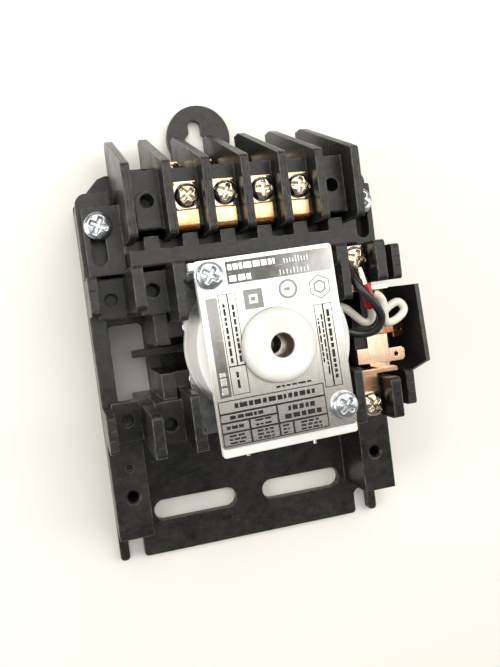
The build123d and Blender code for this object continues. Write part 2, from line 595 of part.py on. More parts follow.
def write_auxiliary_side():
    save("side_barrier", side_barrier())
    save("auxiliary_block", auxiliary_block())
    save("upper_auxiliary_strip", upper_auxiliary_strip())
    save("lower_auxiliary_strip", lower_auxiliary_strip())
    save("spare_quick_connect_blade", spare_blade())
    seat = RAISED_PAD + 1.3
    places = [AUX_SCREW_Y, 2 * MIRROR_Y - AUX_SCREW_Y]
    save("auxiliary_clamp_washers", [clamp_washer(INNER_BAY_X, y, seat, 8.0, 1.6) for y in places])
    save("auxiliary_terminal_screws", [pan_screw(INNER_BAY_X, y, seat + 1.1, 3.9, 2.7, 1.6, 10, 35, True)
                                       for y in places])
    save("auxiliary_fixed_tips", [contact_tip(AUX_X, FINGER_Y + s * AUX_REACH, AUX_FOOT_Z - TIP_H)
                                  for s in (-1, 1)])
    save("white_coil_lead", wire(WHITE_LEAD, WIRE_R))
    save("red_sleeve", wire(SLEEVE, SLEEVE_R))
    save("black_coil_lead", wire(BLACK_LEAD, WIRE_R))
    save("white_jumper_lead", wire(WHITE_JUMPER, WIRE_R))


def write_moving_parts():
    save("plunger", plunger())
    save("plunger_pin", plunger_pin())
    save("indicator_pin", indicator_pin())
    save("crossbar", crossbar())
    for n, x in enumerate(POLES, 1):
        save(f"contact_bridge_{n}", contact_bridge(x))
    over = BRIDGE_Z + 1.5
    tips = [contact_tip(x, BRIDGE_Y + s * BRIDGE_REACH, over) for x in POLES for s in (-1, 1)]
    aux_over = AUX_BRIDGE_Z + AUX_BRIDGE_T
    tips += [contact_tip(AUX_X, FINGER_Y + s * AUX_REACH, aux_over) for s in (-1, 1)]
    save("moving_contact_tips", tips)
    springs = [spring(x, BRIDGE_Y, BAR_Z1, BRIDGE_Z, 2.2, 0.3, 3) for x in POLES]
    springs.append(spring(AUX_X, FINGER_Y, FINGER_TOP, AUX_BRIDGE_Z, 1.8, 0.25, 2))
    save("contact_springs", springs)
    clips = [retainer(x, BRIDGE_Y, over, 1.4) for x in POLES]
    clips.append(retainer(AUX_X, FINGER_Y, aux_over, 1.2))
    save("bridge_retainers", clips)
    save("auxiliary_bridge", auxiliary_bridge())
    save("return_spring", spring(AXIS_X, AXIS_Y, BAR_Z1 + 5.8, YOKE_Z0, 8.0, 0.6, 7))


write_fixed_parts()
write_magnet()
write_auxiliary_side()
write_moving_parts()
print(len(os.listdir("parts")), "nodes")
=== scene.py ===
"""Looks of an open-type lighting contactor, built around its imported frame."""
import json
import math
import random

import bpy
import bmesh
from mathutils import Matrix, Vector


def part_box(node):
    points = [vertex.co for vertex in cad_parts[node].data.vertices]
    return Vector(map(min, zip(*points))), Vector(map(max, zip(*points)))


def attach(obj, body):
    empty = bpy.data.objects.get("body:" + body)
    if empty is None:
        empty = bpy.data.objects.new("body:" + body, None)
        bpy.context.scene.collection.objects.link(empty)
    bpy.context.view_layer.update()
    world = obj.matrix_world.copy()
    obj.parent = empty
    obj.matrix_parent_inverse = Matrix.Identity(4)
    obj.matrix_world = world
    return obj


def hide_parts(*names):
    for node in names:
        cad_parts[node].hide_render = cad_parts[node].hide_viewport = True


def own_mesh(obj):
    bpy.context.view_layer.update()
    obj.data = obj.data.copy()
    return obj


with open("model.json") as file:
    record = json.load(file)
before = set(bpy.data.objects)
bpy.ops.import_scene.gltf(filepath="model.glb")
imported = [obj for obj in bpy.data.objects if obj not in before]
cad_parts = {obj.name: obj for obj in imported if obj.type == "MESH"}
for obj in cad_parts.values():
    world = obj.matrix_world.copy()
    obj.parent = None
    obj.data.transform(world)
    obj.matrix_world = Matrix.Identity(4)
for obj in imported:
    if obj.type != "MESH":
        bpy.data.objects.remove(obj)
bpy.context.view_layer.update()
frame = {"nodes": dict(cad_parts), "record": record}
NODES = frame["nodes"]
MM = 0.001


# ---------------------------------------------------------------- node wiring

def wire_node(tree, kind, inputs, **settings):
    """Adds a node; an input is either another node's socket or a plain value."""
    made = tree.nodes.new(kind)
    for key, value in settings.items():
        setattr(made, key, value)
    for key, value in inputs.items():
        if isinstance(value, bpy.types.NodeSocket):
            tree.links.new(value, made.inputs[key])
        else:
            made.inputs[key].default_value = value
    return made


def maths(tree, operation, a, b=0.0, clamp=False):
    """One step of arithmetic."""
    made = wire_node(tree, "ShaderNodeMath", {0: a, 1: b}, operation=operation, use_clamp=clamp)
    return made.outputs[0]


def span(tree, value, low, high, to_low=0.0, to_high=1.0):
    """Stretches low..high to to_low..to_high, and stops at both ends."""
    made = wire_node(tree, "ShaderNodeMapRange", {"Value": value, "From Min": low, "From Max": high,
                                                  "To Min": to_low, "To Max": to_high})
    return made.outputs["Result"]


MIX_FACTOR, MIX_A, MIX_B, MIX_RESULT = 0, 6, 7, 2    # a Mix node's sockets when it mixes colours


def mixed(tree, factor, a, b):
    """Colour a at factor 0, colour b at factor 1."""
    made = wire_node(tree, "ShaderNodeMix", {MIX_FACTOR: factor, MIX_A: a, MIX_B: b}, data_type="RGBA")
    return made.outputs[MIX_RESULT]


def shader_group(name, inputs, outputs):
    """An empty shader group with float inputs and the given outputs."""
    tree = bpy.data.node_groups.new(name, "ShaderNodeTree")
    for label, value in inputs.items():
        socket = tree.interface.new_socket(label, in_out="INPUT", socket_type="NodeSocketFloat")
        socket.default_value = value
    for label, kind in outputs.items():
        tree.interface.new_socket(label, in_out="OUTPUT", socket_type="NodeSocket" + kind)
    return tree, tree.nodes.new("NodeGroupInput").outputs, tree.nodes.new("NodeGroupOutput").inputs


def place(tree):
    """Where a point is on its piece, in metres."""
    return tree.nodes.new("ShaderNodeTexCoord").outputs["Object"]


# ---------------------------------------------------------------- effects shared by the finishes

def edge_group():
    """Softened edge normal, and a broken mask along the edges."""
    tree, given, out = shader_group("rounded edges", {"Radius": 0.0004, "Gain": 5.0, "Breakup": 500.0},
                                    {"Normal": "Vector", "Mask": "Float"})
    bevel = wire_node(tree, "ShaderNodeBevel", {"Radius": given["Radius"]}, samples=6)
    true = tree.nodes.new("ShaderNodeNewGeometry").outputs["True Normal"]
    facing = wire_node(tree, "ShaderNodeVectorMath", {0: bevel.outputs[0], 1: true},
                       operation="DOT_PRODUCT")
    turned = maths(tree, "SUBTRACT", 1.0, facing.outputs["Value"])
    bent = maths(tree, "MULTIPLY", turned, given["Gain"], True)
    noise = wire_node(tree, "ShaderNodeTexNoise", {"Vector": place(tree), "Scale": given["Breakup"],
                                                   "Detail": 3.0})
    broken = span(tree, noise.outputs["Fac"], 0.35, 0.62)
    tree.links.new(bevel.outputs[0], out["Normal"])
    tree.links.new(maths(tree, "MULTIPLY", bent, broken), out["Mask"])
    return tree


def grain_group():
    """Fine surface grain, slow changes of tone and a few scattered specks."""
    speck_scale, speck_limit = 620.0, 0.90
    tree, given, out = shader_group("surface grain", {"Grain": 2500.0, "Patches": 60.0},
                                    {"Height": "Float", "Tone": "Float", "Specks": "Float"})
    fine = wire_node(tree, "ShaderNodeTexNoise", {"Vector": place(tree), "Scale": given["Grain"],
                                                  "Detail": 4.0, "Roughness": 0.6})
    slow = wire_node(tree, "ShaderNodeTexNoise", {"Vector": place(tree), "Scale": given["Patches"],
                                                  "Detail": 5.0, "Roughness": 0.55, "Distortion": 0.4})
    pits = wire_node(tree, "ShaderNodeTexVoronoi", {"Vector": place(tree), "Scale": given["Grain"]})
    shallow = maths(tree, "MULTIPLY", pits.outputs["Distance"], 0.35)
    tree.links.new(maths(tree, "ADD", fine.outputs["Fac"], shallow), out["Height"])
    tree.links.new(span(tree, slow.outputs["Fac"], 0.32, 0.68), out["Tone"])
    dots = wire_node(tree, "ShaderNodeTexVoronoi", {"Vector": place(tree), "Scale": speck_scale})
    few = wire_node(tree, "ShaderNodeSeparateColor", {"Color": dots.outputs["Color"]}).outputs["Red"]
    dot = span(tree, dots.outputs["Distance"], 0.16, 0.06)
    chosen = maths(tree, "GREATER_THAN", few, speck_limit)
    tree.links.new(maths(tree, "MULTIPLY", dot, chosen), out["Specks"])
    return tree


def dust_group():
    """Thin dust on the faces that look up, thicker in patches."""
    tree, given, out = shader_group("settled dust", {"Amount": 0.3, "Patches": 260.0}, {"Mask": "Float"})
    normal = tree.nodes.new("ShaderNodeNewGeometry").outputs["Normal"]
    up = wire_node(tree, "ShaderNodeSeparateXYZ", {0: normal}).outputs["Z"]
    noise = wire_node(tree, "ShaderNodeTexNoise", {"Vector": place(tree), "Scale": given["Patches"],
                                                   "Detail": 8.0, "Roughness": 0.7})
    patch = span(tree, noise.outputs["Fac"], 0.38, 0.72)
    lying = maths(tree, "MULTIPLY", span(tree, up, 0.2, 1.0), patch)
    tree.links.new(maths(tree, "MULTIPLY", lying, given["Amount"], True), out["Mask"])
    return tree


def scratch_group():
    """Hairline scratches that run in two directions."""
    tree, given, out = shader_group("hairline scratches", {"Scale": 260.0, "Amount": 0.6},
                                    {"Mask": "Float"})
    lines = []
    for angle, stretch in ((0.5, 14.0), (-0.9, 18.0)):
        turned = wire_node(tree, "ShaderNodeMapping", {
            "Vector": place(tree), "Rotation": (0.2, 0.1, angle), "Scale": (1.0, stretch, 1.0)})
        noise = wire_node(tree, "ShaderNodeTexNoise", {
            "Vector": turned.outputs[0], "Scale": given["Scale"], "Detail": 2.0, "Distortion": 0.5})
        lines.append(span(tree, noise.outputs["Fac"], 0.66, 0.70))
    both = maths(tree, "MAXIMUM", lines[0], lines[1])
    tree.links.new(maths(tree, "MULTIPLY", both, given["Amount"], True), out["Mask"])
    return tree


def brushed_group():
    """Fine parallel streaks of a brushed sheet."""
    tree, given, out = shader_group("brushed streaks", {"Scale": 900.0, "Angle": 0.0},
                                    {"Height": "Float", "Tone": "Float"})
    angle = wire_node(tree, "ShaderNodeCombineXYZ", {"Z": given["Angle"]})
    turned = wire_node(tree, "ShaderNodeMapping", {"Vector": place(tree), "Rotation": angle.outputs[0],
                                                   "Scale": (1.0, 0.035, 1.0)})
    fine = wire_node(tree, "ShaderNodeTexNoise", {"Vector": turned.outputs[0], "Scale": given["Scale"],
                                                  "Detail": 6.0, "Roughness": 0.75})
    broad = wire_node(tree, "ShaderNodeTexNoise", {"Vector": place(tree), "Scale": 120.0, "Detail": 4.0})
    tree.links.new(fine.outputs["Fac"], out["Height"])
    tone = maths(tree, "ADD", maths(tree, "MULTIPLY", fine.outputs["Fac"], 0.7),
                 maths(tree, "MULTIPLY", broad.outputs["Fac"], 0.3))
    tree.links.new(span(tree, tone, 0.36, 0.64), out["Tone"])
    return tree


EDGES, GRAIN, DUST = edge_group(), grain_group(), dust_group()
SCRATCHES, BRUSHED = scratch_group(), brushed_group()


def use(tree, group, **values):
    """Places a shared effect with this material's own values."""
    made = tree.nodes.new("ShaderNodeGroup")
    made.node_tree = group
    for label, value in values.items():
        made.inputs[label.replace("_", " ")].default_value = value
    return made.outputs


def colour(r, g, b):
    return (r, g, b, 1.0)


def paler(tone, keep, lift):
    return colour(*[keep * channel + lift for channel in tone[:3]])


def new_material(name, metallic=0.0, **constants):
    """A material whose shader holds the given constants; an underscore stands for a space."""
    material = bpy.data.materials.new(name)
    material.use_nodes = True
    tree = material.node_tree
    shader = tree.nodes["Principled BSDF"]
    shader.inputs["Metallic"].default_value = metallic
    for label, value in constants.items():
        shader.inputs[label.replace("_", " ")].default_value = value
    return material, tree, shader


# How high a bump stands for, in metres.
MOULDED_RELIEF, METAL_RELIEF, LAMINATION_RELIEF, WINDING_RELIEF = 0.00006, 0.00004, 0.00005, 0.00008


def set_normal(tree, shader, height, edge_normal, strength, distance):
    """Bumps laid over the rounded edges."""
    bump = wire_node(tree, "ShaderNodeBump", {"Height": height, "Normal": edge_normal,
                                              "Strength": strength, "Distance": distance})
    tree.links.new(bump.outputs[0], shader.inputs["Normal"])


def moulded(name, dark, light, edge, rough, radius=0.5, dust=0.08, grain=2600.0, bump=0.25, **constants):
    """Moulded plastic: patchy tone, fine grain, pale edges of wear and painted highlight, dust and rubbed
    scratches.
    """
    material, tree, shader = new_material(name, **constants)
    grains = use(tree, GRAIN, Grain=grain, Patches=70.0)
    edges = use(tree, EDGES, Radius=radius * MM, Gain=4.0)
    dusty = use(tree, DUST, Amount=dust)
    rubbed = use(tree, SCRATCHES, Amount=0.16)
    base = mixed(tree, grains["Tone"], dark, light)
    base = mixed(tree, rubbed["Mask"], base, edge)
    # Pale colour along the rounded edges: partly wear, partly a painted highlight.
    base = mixed(tree, edges["Mask"], base, edge)
    specks = maths(tree, "MULTIPLY", grains["Specks"], dust * 5, True)
    base = mixed(tree, specks, base, paler(edge, 0.7, 0.12))
    base = mixed(tree, dusty["Mask"], base, paler(edge, 0.55, 0.18))
    tree.links.new(base, shader.inputs["Base Color"])
    spread = span(tree, grains["Tone"], 0.0, 1.0, rough[0], rough[1])
    tree.links.new(maths(tree, "ADD", spread, maths(tree, "MULTIPLY", dusty["Mask"], 0.3), True),
                   shader.inputs["Roughness"])
    set_normal(tree, shader, grains["Height"], edges["Normal"], bump, MOULDED_RELIEF)
    return material


def metal(name, dark, light, edge, rough, radius=0.25, bump=0.15, patches=140.0, scratches=0.6,
          streaks=0.0):
    """Metal: stained tone, hairline scratches, bright rubbed edges."""
    material, tree, shader = new_material(name, metallic=1.0)
    grains = use(tree, GRAIN, Grain=1800.0, Patches=patches)
    edges = use(tree, EDGES, Radius=radius * MM, Gain=5.0, Breakup=900.0)
    marks = use(tree, SCRATCHES, Amount=scratches)
    tone, height = grains["Tone"], grains["Height"]
    if streaks:
        lines = use(tree, BRUSHED, Scale=streaks)
        tone = maths(tree, "MULTIPLY", maths(tree, "ADD", tone, lines["Tone"]), 0.5)
        height = maths(tree, "ADD", maths(tree, "MULTIPLY", height, 0.3), lines["Height"])
    base = mixed(tree, tone, dark, light)
    base = mixed(tree, marks["Mask"], base, edge)
    tree.links.new(mixed(tree, edges["Mask"], base, edge), shader.inputs["Base Color"])
    rougher = span(tree, tone, 0.0, 1.0, rough[1], rough[0])
    tree.links.new(maths(tree, "ADD", rougher, maths(tree, "MULTIPLY", marks["Mask"], 0.12), True),
                   shader.inputs["Roughness"])
    set_normal(tree, shader, height, edges["Normal"], bump, METAL_RELIEF)
    return material


def tinted_strip(name, bend, deep, bright, edge, rough):
    """Rolled strip whose colour changes along its length, between two places in millimetres."""
    material, tree, shader = new_material(name, metallic=1.0)
    grains = use(tree, GRAIN, Grain=1500.0, Patches=260.0)
    edges = use(tree, EDGES, Radius=0.3 * MM, Gain=5.0)
    marks = use(tree, SCRATCHES, Amount=0.7)
    lines = use(tree, BRUSHED, Scale=1400.0)
    along = wire_node(tree, "ShaderNodeSeparateXYZ", {0: place(tree)}).outputs["Y"]
    shift = maths(tree, "ADD", along, maths(tree, "MULTIPLY", grains["Tone"], 0.0012))
    low = mixed(tree, grains["Tone"], *deep)
    high = mixed(tree, lines["Tone"], *bright)
    base = mixed(tree, span(tree, shift, bend[0] * MM, bend[1] * MM), low, high)
    base = mixed(tree, marks["Mask"], base, edge)
    tree.links.new(mixed(tree, edges["Mask"], base, edge), shader.inputs["Base Color"])
    tree.links.new(span(tree, grains["Tone"], 0.0, 1.0, rough[1], rough[0]), shader.inputs["Roughness"])
    set_normal(tree, shader, lines["Height"], edges["Normal"], 0.2, METAL_RELIEF)
    return material


def enamelled_winding():
    """Turns of enamelled wire, wound round the coil's axis."""
    material, tree, shader = new_material("enamelled winding", metallic=1.0, Coat_Weight=0.6)
    grains = use(tree, GRAIN, Grain=900.0, Patches=200.0)
    edges = use(tree, EDGES, Radius=0.2 * MM, Gain=4.0)
    height = wire_node(tree, "ShaderNodeSeparateXYZ", {0: place(tree)}).outputs["Z"]
    wire_pitch = 0.45 * MM
    turns = maths(tree, "SINE", maths(tree, "MULTIPLY", height, 2 * math.pi / wire_pitch))
    base = mixed(tree, span(tree, turns, -1.0, 1.0), colour(0.20, 0.055, 0.02), colour(0.75, 0.28, 0.10))
    base = mixed(tree, maths(tree, "MULTIPLY", grains["Tone"], 0.4), base, colour(0.30, 0.12, 0.05))
    tree.links.new(base, shader.inputs["Base Color"])
    tree.links.new(span(tree, grains["Tone"], 0.0, 1.0, 0.22, 0.38), shader.inputs["Roughness"])
    set_normal(tree, shader, turns, edges["Normal"], 0.6, WINDING_RELIEF)
    return material


def pole_laminations():
    """Steel laminations stacked across the frame, with darker gaps, the steel's tone darkened as painted
    shade.
    """
    material, tree, shader = new_material("laminated steel", metallic=1.0)
    grains = use(tree, GRAIN, Grain=1400.0, Patches=180.0)
    edges = use(tree, EDGES, Radius=0.25 * MM, Gain=5.0)
    marks = use(tree, SCRATCHES, Amount=0.5)
    across = wire_node(tree, "ShaderNodeSeparateXYZ", {0: place(tree)}).outputs["X"]
    sheet_pitch = 0.7 * MM
    sheets = maths(tree, "SINE", maths(tree, "MULTIPLY", across, 2 * math.pi / sheet_pitch))
    gap = span(tree, sheets, 0.80, 0.98)
    # The steel's tone is kept dark as painted shade, since the frame sits in shadow; the dark gaps are
    # the joints.
    base = mixed(tree, grains["Tone"], colour(0.20, 0.205, 0.22), colour(0.38, 0.39, 0.41))
    base = mixed(tree, gap, base, colour(0.10, 0.09, 0.085))
    base = mixed(tree, marks["Mask"], base, colour(0.75, 0.76, 0.78))
    tree.links.new(mixed(tree, edges["Mask"], base, colour(0.8, 0.8, 0.82)), shader.inputs["Base Color"])
    tree.links.new(span(tree, grains["Tone"], 0.0, 1.0, 0.30, 0.45), shader.inputs["Roughness"])
    height = maths(tree, "SUBTRACT", grains["Height"], maths(tree, "MULTIPLY", gap, 1.5))
    set_normal(tree, shader, height, edges["Normal"], 0.35, LAMINATION_RELIEF)
    return material


FINISHES = {
    # The black moulding's pale edge colour is partly wear and partly a painted highlight.
    "black_moulding": moulded("black phenolic moulding", colour(0.009, 0.0088, 0.0082),
                              colour(0.021, 0.0202, 0.0182), colour(0.19, 0.182, 0.165), (0.22, 0.36),
                              radius=0.8, Specular_IOR_Level=0.27),
    "black_sheet": moulded("insulating sheet", colour(0.012, 0.012, 0.012), colour(0.022, 0.022, 0.021),
                           colour(0.30, 0.29, 0.27), (0.38, 0.55), radius=0.3, grain=900.0, bump=0.4),
    "white_moulding": moulded("white nylon moulding", colour(0.66, 0.65, 0.62),
                              colour(0.78, 0.775, 0.745), colour(0.88, 0.875, 0.85), (0.30, 0.44),
                              dust=0.06, bump=0.12),
    "white_insulation": moulded("white wire insulation", colour(0.70, 0.66, 0.57),
                                colour(0.86, 0.83, 0.75), colour(0.92, 0.90, 0.84), (0.26, 0.40),
                                radius=0.15, dust=0.0, bump=0.15),
    "black_insulation": moulded("black wire insulation", colour(0.010, 0.010, 0.010),
                                colour(0.020, 0.019, 0.018), colour(0.07, 0.07, 0.07), (0.22, 0.36),
                                radius=0.15, dust=0.05, bump=0.2),
    "red_sleeve": moulded("red heat-shrink sleeve", colour(0.42, 0.008, 0.012),
                          colour(0.62, 0.018, 0.022), colour(0.80, 0.10, 0.09), (0.20, 0.34),
                          radius=0.15, dust=0.0, bump=0.3),
    "zinc_screw": metal("bright zinc plating", colour(0.34, 0.365, 0.39), colour(0.76, 0.79, 0.80),
                        colour(0.94, 0.96, 0.98), (0.18, 0.40), patches=420.0),
    "nickel_screw": metal("nickel plating", colour(0.30, 0.24, 0.16), colour(0.76, 0.69, 0.56),
                          colour(0.97, 0.94, 0.86), (0.05, 0.16), patches=380.0, bump=0.1),
    # Copper strip in two tones: dark orange below y 38.5 mm, pale gold above y 42.5 mm.
    "copper_strip": tinted_strip("copper strip darker towards its bend", (38.5, 42.5),
                                 (colour(0.28, 0.08, 0.02), colour(0.62, 0.23, 0.065)),
                                 (colour(0.72, 0.42, 0.17), colour(0.93, 0.71, 0.44)),
                                 colour(1.0, 0.86, 0.62), (0.20, 0.34)),
    "brass_strip": tinted_strip("rolled brass strip", (-17.0, -9.5),
                                (colour(0.30, 0.14, 0.08), colour(0.66, 0.42, 0.28)),
                                (colour(0.74, 0.47, 0.28), colour(0.95, 0.81, 0.64)),
                                colour(0.98, 0.66, 0.42), (0.20, 0.36)),
    "dark_copper": metal("tarnished copper", colour(0.20, 0.07, 0.03), colour(0.58, 0.25, 0.12),
                         colour(0.90, 0.55, 0.34), (0.22, 0.40), patches=220.0, streaks=1000.0),
    "silver_tip": metal("silver contact alloy", colour(0.55, 0.53, 0.49), colour(0.90, 0.89, 0.85),
                        colour(0.97, 0.96, 0.93), (0.18, 0.40), patches=600.0),
    "magnet_steel": pole_laminations(),
    "plated_steel": metal("zinc-plated steel", colour(0.44, 0.46, 0.48), colour(0.74, 0.76, 0.78),
                          colour(0.92, 0.93, 0.95), (0.20, 0.42), patches=260.0),
    # The pin's brass is darkened far below brass's own colour: painted shade deep in the bore.
    "brass_pin": metal("turned brass darkened as painted shade", colour(0.035, 0.028, 0.018), colour(0.12, 0.09, 0.055),
                       colour(0.40, 0.32, 0.20), (0.30, 0.48), patches=500.0),
    "spring_steel": metal("spring steel", colour(0.34, 0.33, 0.32), colour(0.62, 0.61, 0.60),
                          colour(0.85, 0.85, 0.86), (0.18, 0.36), radius=0.1, patches=700.0),
    "copper_winding": enamelled_winding(),
    "brushed_plate": metal("brushed aluminium", colour(0.40, 0.378, 0.325), colour(0.80, 0.78, 0.72),
                           colour(0.97, 0.97, 0.97), (0.19, 0.30), radius=0.15, patches=50.0,
                           scratches=0.2, streaks=900.0, bump=0.26),
}
INK = moulded("printed ink", colour(0.008, 0.0075, 0.007), colour(0.026, 0.0245, 0.022),
              colour(0.10, 0.095, 0.088), (0.40, 0.55), radius=0.02, dust=0.0, Specular_IOR_Level=0.2)


def ink_bands_with_painted_reflection():
    """Broad printed bands, their ink giving way to the bright plate towards their far corner as a painted
    reflection, with hairline scratches through it.
    """
    material, tree, shader = new_material("ink with painted reflection and scratches")
    grains = use(tree, GRAIN, Grain=1200.0, Patches=120.0)
    lines = use(tree, BRUSHED, Scale=900.0)
    marks = use(tree, SCRATCHES, Amount=0.6)
    edges = use(tree, EDGES, Radius=0.02 * MM)
    where = wire_node(tree, "ShaderNodeSeparateXYZ", {0: place(tree)}).outputs
    ragged, header_reflection, column_reflection, column_side = 8.0, (4.0, 26.0), (-8.0, 12.0), -14.5    # millimetres
    # Painted reflection: the ink turns to bright metallic plate towards the header's right end and up the
    # left column; the scratches through the ink are real wear.
    drift = maths(tree, "MULTIPLY", grains["Tone"], ragged * MM)
    header = span(tree, maths(tree, "ADD", where["X"], drift), header_reflection[0] * MM, header_reflection[1] * MM,
                  0.04, 0.75)
    upper = span(tree, maths(tree, "ADD", where["Y"], drift), column_reflection[0] * MM, column_reflection[1] * MM,
                 0.0, 0.42)
    column = maths(tree, "MULTIPLY", upper, maths(tree, "LESS_THAN", where["X"], column_side * MM))
    reflection_and_scratches = maths(tree, "MAXIMUM", maths(tree, "ADD", header, column), marks["Mask"])
    ink = mixed(tree, lines["Tone"], colour(0.026, 0.025, 0.023), colour(0.085, 0.082, 0.076))
    tree.links.new(mixed(tree, reflection_and_scratches, ink, colour(0.62, 0.61, 0.58)), shader.inputs["Base Color"])
    tree.links.new(maths(tree, "MULTIPLY", reflection_and_scratches, 0.9), shader.inputs["Metallic"])
    tree.links.new(span(tree, lines["Tone"], 0.0, 1.0, 0.42, 0.30), shader.inputs["Roughness"])
    set_normal(tree, shader, lines["Height"], edges["Normal"], 0.15, METAL_RELIEF)
    return material


INK_WITH_PAINTED_REFLECTION = ink_bands_with_painted_reflection()
FADED_INK = moulded("faded ink", colour(0.20, 0.195, 0.19), colour(0.32, 0.315, 0.305),
                    colour(0.5, 0.49, 0.48), (0.40, 0.55), radius=0.02, dust=0.0)
SHADED_BUSH = metal("dull copper bush", colour(0.26, 0.17, 0.125), colour(0.74, 0.56, 0.45),
                    colour(0.85, 0.72, 0.62), (0.30, 0.50), patches=260.0, streaks=1000.0)


# ---------------------------------------------------------------- mesh helpers

def in_scene(name, data):
    """A new object, placed at the origin."""
    made = bpy.data.objects.new(name, data)
    bpy.context.scene.collection.objects.link(made)
    return made


def finished_object(name, mesh, slot_name, material=None):
    """A piece at the origin, in its slot's finish or in a material of its own."""
    piece = in_scene(name, mesh)
    piece.data.materials.clear()
    piece.data.materials.append(material or FINISHES[slot_name])
    return piece


def applied(source, name):
    """Plain mesh of an object with its modifiers, after which the object goes."""
    bpy.context.view_layer.update()
    evaluated = source.evaluated_get(bpy.context.evaluated_depsgraph_get())
    mesh = bpy.data.meshes.new_from_object(evaluated)
    mesh.name = name
    bpy.data.objects.remove(source)
    return mesh


def smooth(mesh, angle=35.0):
    """Smooth shading, with edges sharper than the angle kept crisp."""
    made = bmesh.new()
    made.from_mesh(mesh)
    for face in made.faces:
        face.smooth = True
    for edge in made.edges:
        if len(edge.link_faces) == 2 and math.degrees(edge.calc_face_angle(0)) > angle:
            edge.smooth = False
    made.to_mesh(mesh)
    made.free()
    return mesh


def ramp(value, width):
    """0 to 1 as a value passes through zero, over a width."""
    t = min(1.0, max(0.0, value / width + 0.5))
    return t * t * (3 - 2 * t)


def turned_mesh(name, rings, shape):
    """Closed turned body from (radius, height) rings in millimetres, top centre first.
    shape(x, y, z) gives the height of a point, which may be lower than its ring's."""
    segments, crease = 72, 50
    made = bmesh.new()
    top = made.verts.new((0, 0, shape(0, 0, rings[0][1]) * MM))
    loops = []
    for radius, height in rings:
        loop = []
        for k in range(segments):
            angle = 2 * math.pi * k / segments
            x, y = radius * math.cos(angle), radius * math.sin(angle)
            loop.append(made.verts.new((x * MM, y * MM, shape(x, y, height) * MM)))
        loops.append(loop)
    bottom = made.verts.new((0, 0, rings[-1][1] * MM))
    for k in range(segments):
        after = (k + 1) % segments
        made.faces.new((top, loops[0][k], loops[0][after]))
        made.faces.new((bottom, loops[-1][after], loops[-1][k]))
        for upper, lower in zip(loops, loops[1:]):
            made.faces.new((upper[k], lower[k], lower[after], upper[after]))
    mesh = bpy.data.meshes.new(name)
    made.to_mesh(mesh)
    made.free()
    return smooth(mesh, crease)


# The recess of a head. Widths, reach and edges are shares of the head's radius, the recess's depth and
# floor are shares of its height, and the slot's depth is a share of the cross's.
CROSS_WIDTH, CROSS_EDGE, CROSS_REACH, CROSS_END = 0.15, 0.09, 0.60, 0.16
SLOT_WIDTH, SLOT_EDGE, SLOT_SHARE = 0.11, 0.06, 0.62
RECESS_DEPTH, RECESS_FLOOR = 0.62, 0.45
THREAD_PITCH, THREAD_ROOT = 0.7, 0.84


def screw_mesh(name, radius, height, shank_radius, shank_length, slotted):
    """Pan head with a cross recess on a threaded shank; the head sits on z 0."""
    def recess(x, y, z):
        if z < RECESS_FLOOR * height:
            return z
        near, far = sorted((abs(x), abs(y)))
        depth = (ramp(CROSS_WIDTH * radius - near, CROSS_EDGE * radius)
                 * ramp(CROSS_REACH * radius - far, CROSS_END * radius))
        if slotted:
            depth = max(depth, SLOT_SHARE * ramp(SLOT_WIDTH * radius - abs(x), SLOT_EDGE * radius))
        return z - depth * RECESS_DEPTH * height

    steps, drop, roundness = 17, 0.42, 3.2
    rim = ((0.985, 0.46), (1.0, 0.36), (1.0, 0.10), (0.97, 0.0))    # shares of the radius and the height
    rings = [(radius * k / steps, height * (1 - drop * (k / steps) ** roundness))
             for k in range(1, steps)]
    rings += [(radius * out, height * up) for out, up in rim] + [(shank_radius, 0.0)]
    turn = 0
    while turn * THREAD_PITCH < shank_length - THREAD_PITCH:
        rings += [(shank_radius * THREAD_ROOT, -THREAD_PITCH * turn - 0.25),
                  (shank_radius, -THREAD_PITCH * turn - 0.55)]
        turn += 1
    rings.append((shank_radius * 0.7, -shank_length))
    return turned_mesh(name, rings, recess)


def saddle_mesh(name, size, thickness, lift):
    """Square pressure plate whose two side edges curl down over the wire."""
    squares, corner_start, corner_cut, crown = 14, 1.72, 0.35, 0.35
    made = bmesh.new()
    bmesh.ops.create_grid(made, x_segments=squares, y_segments=squares, size=size / 2 * MM)
    for vert in made.verts:
        u, v = 2 * vert.co.x / (size * MM), 2 * vert.co.y / (size * MM)
        corner = max(0.0, abs(u) + abs(v) - corner_start)
        vert.co.x *= 1 - corner_cut * corner
        vert.co.y *= 1 - corner_cut * corner
        vert.co.z = (thickness + lift * (crown * math.cos(math.pi * v) - abs(u) ** 3)) * MM
    mesh = bpy.data.meshes.new(name)
    made.to_mesh(mesh)
    made.free()
    plate = in_scene(name, mesh)
    gauge = plate.modifiers.new("gauge", "SOLIDIFY")
    gauge.thickness, gauge.offset = thickness * 0.85 * MM, -1
    edge = plate.modifiers.new("edge", "BEVEL")
    edge.width, edge.segments, edge.limit_method = 0.12 * MM, 2, "ANGLE"
    return smooth(applied(plate, name))


# ---------------------------------------------------------------- geometry node trees

def geometry_group(name, inputs):
    """An empty geometry tree with one geometry input and the given named inputs."""
    tree = bpy.data.node_groups.new(name, "GeometryNodeTree")
    tree.interface.new_socket("Geometry", in_out="INPUT", socket_type="NodeSocketGeometry")
    for label, (kind, value) in inputs.items():
        socket = tree.interface.new_socket(label, in_out="INPUT", socket_type="NodeSocket" + kind)
        if value is not None:
            socket.default_value = value
    tree.interface.new_socket("Geometry", in_out="OUTPUT", socket_type="NodeSocketGeometry")
    return tree, tree.nodes.new("NodeGroupInput").outputs, tree.nodes.new("NodeGroupOutput").inputs


def finished_tree(tree, geometry, given, out):
    """The end of every tree: real geometry in the given finish."""
    real = wire_node(tree, "GeometryNodeRealizeInstances", {"Geometry": geometry})
    painted = wire_node(tree, "GeometryNodeSetMaterial", {"Geometry": real.outputs[0],
                                                          "Material": given["Finish"]})
    tree.links.new(painted.outputs[0], out["Geometry"])
    return tree


